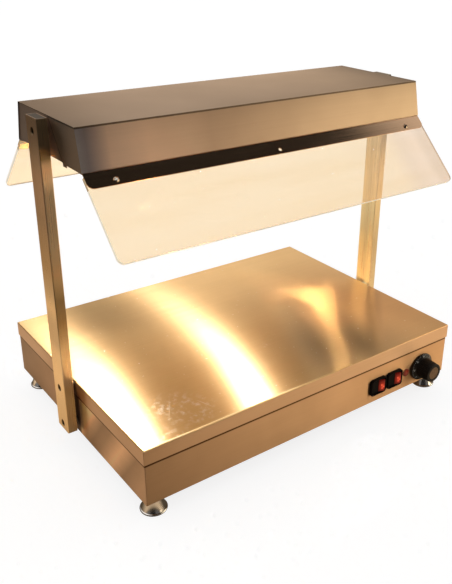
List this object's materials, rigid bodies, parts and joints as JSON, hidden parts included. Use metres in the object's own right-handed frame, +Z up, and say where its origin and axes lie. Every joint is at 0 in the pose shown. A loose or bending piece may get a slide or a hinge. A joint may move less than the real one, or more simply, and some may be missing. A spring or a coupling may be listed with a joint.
{
  "type": "food warmer with gantry",
  "caption": "Countertop food warmer: a heated stainless plate on a boxed base under a lamp hood on side posts, with sloping glass guards, rocker switches and a thermostat knob.",
  "frame": {"origin": "centre of the object's outline, on the surface that it stands on", "axes": "+Z up, -Y to the front with the controls, +X to the right seen from the front"},
  "size_m": [0.64, 0.4986, 0.52],
  "materials": {
    "stainless": "brushed along its length, satin",
    "bright_aluminium": "bright rolled",
    "guard_glass": "clear toughened, polished edges",
    "quartz": "clear quartz",
    "ceramic": "unglazed steatite",
    "chrome": "polished",
    "zinc_steel": "zinc plated",
    "element_sheath": "oxidised alloy sheath",
    "fibre_board": "matt fibre",
    "black_plastic": "satin moulded",
    "black_nylon": "matt moulded",
    "red_lens": "glossy, lit from behind",
    "ivory_plastic": "matt moulded",
    "brass": "plain"
  },
  "bodies": {
    "warmer": {"base_casing": "stainless", "bottom_cover": "stainless", "bracket_rivets": "zinc_steel", "clamp_nuts": "zinc_steel", "clamp_studs": "zinc_steel", "cover_screws": "zinc_steel", "element_clamps": "zinc_steel", "foot_nuts": "zinc_steel", "gland_body": "black_nylon", "gland_dome_nut": "black_nylon", "gland_locknut": "black_nylon", "guard_bracket_front": "stainless", "guard_bracket_rear": "stainless", "guard_glass_front": "guard_glass", "guard_glass_rear": "guard_glass", "guard_nuts": "zinc_steel", "guard_screws": "zinc_steel", "heating_element": "element_sheath", "hood_cover": "stainless", "hood_end_left": "stainless", "hood_end_right": "stainless", "hot_plate": "stainless", "indicator_body": "black_plastic", "indicator_lens": "red_lens", "insulation_board": "fibre_board", "lamp_brackets": "stainless", "lamp_holders": "ceramic", "lamp_reflector": "bright_aluminium", "post_caps": "stainless", "post_left": "stainless", "post_nuts": "zinc_steel", "post_right": "stainless", "post_screws": "zinc_steel", "post_spacers": "zinc_steel", "quartz_lamp_left": "quartz", "quartz_lamp_right": "quartz", "switch_frame_left": "black_plastic", "switch_frame_right": "black_plastic", "switch_terminals": "brass", "terminal_block": "ivory_plastic", "terminal_screws": "brass", "thermostat_body": "black_nylon", "thermostat_screws": "zinc_steel"},
    "rocker_left": {"rocker_left": "black_plastic", "rocker_lens_left": "red_lens"},
    "rocker_right": {"rocker_right": "black_plastic", "rocker_lens_right": "red_lens"},
    "knob": {"knob": "black_plastic", "knob_cap": "black_plastic", "thermostat_shaft": "zinc_steel"},
    "foot_front_left": {"foot_front_left": "chrome"},
    "foot_front_right": {"foot_front_right": "chrome"},
    "foot_rear_left": {"foot_rear_left": "chrome"},
    "foot_rear_right": {"foot_rear_right": "chrome"}
  },
  "joints": [
    {"name": "rocker_left_tip", "type": "hinge", "parent": "warmer", "child": "rocker_left", "pos_m": [0.1335, -0.2178, 0.058], "axis": [0, 0, 1], "range_deg": [0, 20]},
    {"name": "rocker_right_tip", "type": "hinge", "parent": "warmer", "child": "rocker_right", "pos_m": [0.1715, -0.2178, 0.058], "axis": [0, 0, 1], "range_deg": [0, 20]},
    {"name": "knob_turn", "type": "hinge", "parent": "warmer", "child": "knob", "pos_m": [0.239, -0.2188, 0.058], "axis": [0, 1, 0], "range_deg": [0, 270]},
    {"name": "foot_front_left_screw", "type": "slide", "parent": "warmer", "child": "foot_front_left", "axis": [0, 0, -1], "range_m": [0, 0.008]},
    {"name": "foot_front_right_screw", "type": "slide", "parent": "warmer", "child": "foot_front_right", "axis": [0, 0, -1], "range_m": [0, 0.008]},
    {"name": "foot_rear_left_screw", "type": "slide", "parent": "warmer", "child": "foot_rear_left", "axis": [0, 0, -1], "range_m": [0, 0.008]},
    {"name": "foot_rear_right_screw", "type": "slide", "parent": "warmer", "child": "foot_rear_right", "axis": [0, 0, -1], "range_m": [0, 0.008]}
  ]
}
